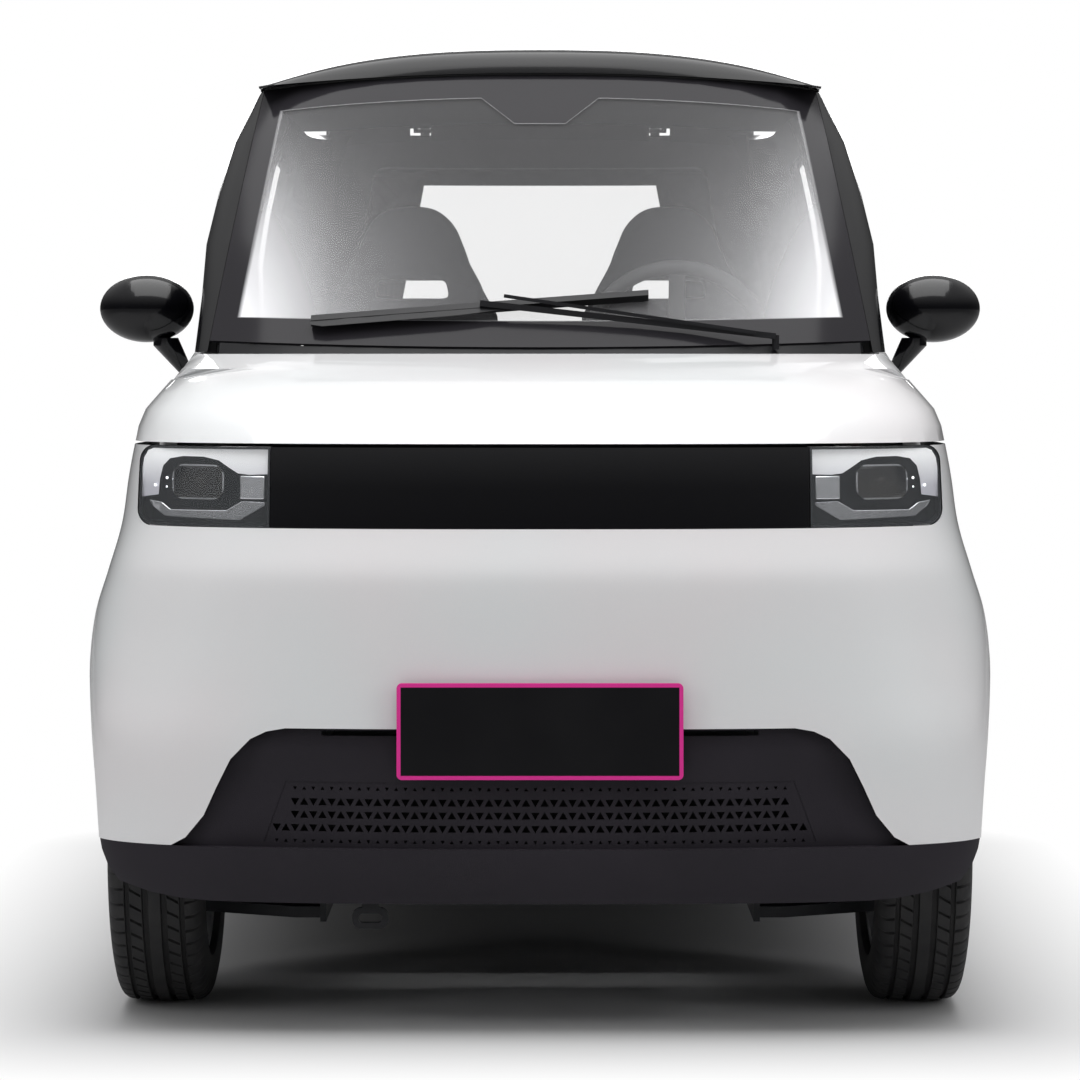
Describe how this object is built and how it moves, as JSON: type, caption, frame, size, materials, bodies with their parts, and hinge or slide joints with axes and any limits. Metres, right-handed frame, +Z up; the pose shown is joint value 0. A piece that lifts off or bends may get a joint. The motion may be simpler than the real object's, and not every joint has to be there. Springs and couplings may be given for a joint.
{
  "type": "electric microcar",
  "caption": "Small two-seat car with rounded white body, black roof and lamp band, perforated dark bumper, turning wheels, steering, and opening doors, bonnet and tailgate.",
  "frame": {"origin": "middle of the bounding box on the floor, under the car", "axes": "+Z up, the nose points along -Y, +X is the car's left side"},
  "size_m": [1.56, 2.7002, 1.64],
  "materials": {
    "pearl_white": "gloss pearl white",
    "gloss_black": "gloss",
    "dark_plastic": "grained",
    "black_plastic": "satin",
    "frame_steel": "satin black",
    "cast_metal": "cast",
    "rim_metal": "satin silver",
    "tyre_rubber": "matte",
    "clear_glass": "clear",
    "dark_glass": "tinted",
    "lamp_metal": "bright and dark",
    "red_lens": "red",
    "seat_fabric": "woven grey",
    "pack_metal": "satin grey"
  },
  "bodies": {
    "body": {"chassis": "frame_steel", "battery_pack": "pack_metal", "drive_unit": "cast_metal", "front_suspension": "frame_steel", "rear_axle": "frame_steel", "wheel_liners": "black_plastic", "front_body": "pearl_white", "front_band": "gloss_black", "headlamps": "lamp_metal", "headlamp_lenses": "clear_glass", "front_bumper": "dark_plastic", "front_grille": "dark_plastic", "front_plate": "gloss_black", "tow_loop": "frame_steel", "sills": "dark_plastic", "rear_body": "pearl_white", "rear_band": "gloss_black", "tail_lamps": "red_lens", "rear_bumper": "dark_plastic", "cabin_frame": "gloss_black", "roof": "gloss_black", "windscreen": "clear_glass", "quarter_windows": "dark_glass", "cowl": "black_plastic", "wiper": "black_plastic", "dashboard": "black_plastic", "seat_left": "seat_fabric", "seat_right": "seat_fabric"},
    "bonnet": {"bonnet": "pearl_white"},
    "door_left": {"door_left": "pearl_white", "door_glass_left": "dark_glass", "mirror_left": "gloss_black"},
    "door_right": {"door_right": "pearl_white", "door_glass_right": "dark_glass", "mirror_right": "gloss_black"},
    "tailgate": {"tailgate": "gloss_black", "tailgate_window": "dark_glass"},
    "steering_wheel": {"steering_wheel": "black_plastic"},
    "knuckle_left": {"knuckle_left": "cast_metal"},
    "knuckle_right": {"knuckle_right": "cast_metal"},
    "wheel_front_left": {"rim_front_left": "rim_metal", "tyre_front_left": "tyre_rubber"},
    "wheel_front_right": {"rim_front_right": "rim_metal", "tyre_front_right": "tyre_rubber"},
    "wheel_rear_left": {"rim_rear_left": "rim_metal", "tyre_rear_left": "tyre_rubber"},
    "wheel_rear_right": {"rim_rear_right": "rim_metal", "tyre_rear_right": "tyre_rubber"}
  },
  "joints": [
    {"name": "steer_left", "type": "hinge", "parent": "body", "child": "knuckle_left", "pos_m": [0.575, -0.87, 0.283], "axis": [0, 0, 1], "range_deg": [-32, 32]},
    {"name": "steer_right", "type": "hinge", "parent": "body", "child": "knuckle_right", "pos_m": [-0.575, -0.87, 0.283], "axis": [0, 0, 1], "range_deg": [-32, 32]},
    {"name": "steering_wheel_turn", "type": "hinge", "parent": "body", "child": "steering_wheel", "pos_m": [0.25, -0.2, 1.086], "axis": [0, 0.9063, 0.4226], "range_deg": [-450, 450]},
    {"name": "wheel_front_left_spin", "type": "hinge", "parent": "knuckle_left", "child": "wheel_front_left", "pos_m": [0.617, -0.87, 0.283], "axis": [1, 0, 0], "continuous": true},
    {"name": "wheel_front_right_spin", "type": "hinge", "parent": "knuckle_right", "child": "wheel_front_right", "pos_m": [-0.617, -0.87, 0.283], "axis": [1, 0, 0], "continuous": true},
    {"name": "wheel_rear_left_spin", "type": "hinge", "parent": "body", "child": "wheel_rear_left", "pos_m": [0.617, 0.93, 0.283], "axis": [1, 0, 0], "continuous": true},
    {"name": "wheel_rear_right_spin", "type": "hinge", "parent": "body", "child": "wheel_rear_right", "pos_m": [-0.617, 0.93, 0.283], "axis": [1, 0, 0], "continuous": true},
    {"name": "door_left_hinge", "type": "hinge", "parent": "body", "child": "door_left", "pos_m": [0.692, -0.482, 0.5], "axis": [0.0523, 0, -0.9986], "range_deg": [0, 65]},
    {"name": "door_right_hinge", "type": "hinge", "parent": "body", "child": "door_right", "pos_m": [-0.692, -0.482, 0.5], "axis": [0.0523, 0, 0.9986], "range_deg": [0, 65]},
    {"name": "bonnet_hinge", "type": "hinge", "parent": "body", "child": "bonnet", "pos_m": [0, -1.275, 0.92], "axis": [1, 0, 0], "range_deg": [0, 55]},
    {"name": "tailgate_hinge", "type": "hinge", "parent": "body", "child": "tailgate", "pos_m": [0, 1.11345, 1.566], "axis": [1, 0, 0], "range_deg": [0, 75]}
  ],
  "couplings": [
    {"joint": "steer_right", "follows": "steer_left", "ratio": 1},
    {"joint": "steering_wheel_turn", "follows": "steer_left", "ratio": 14}
  ]
}
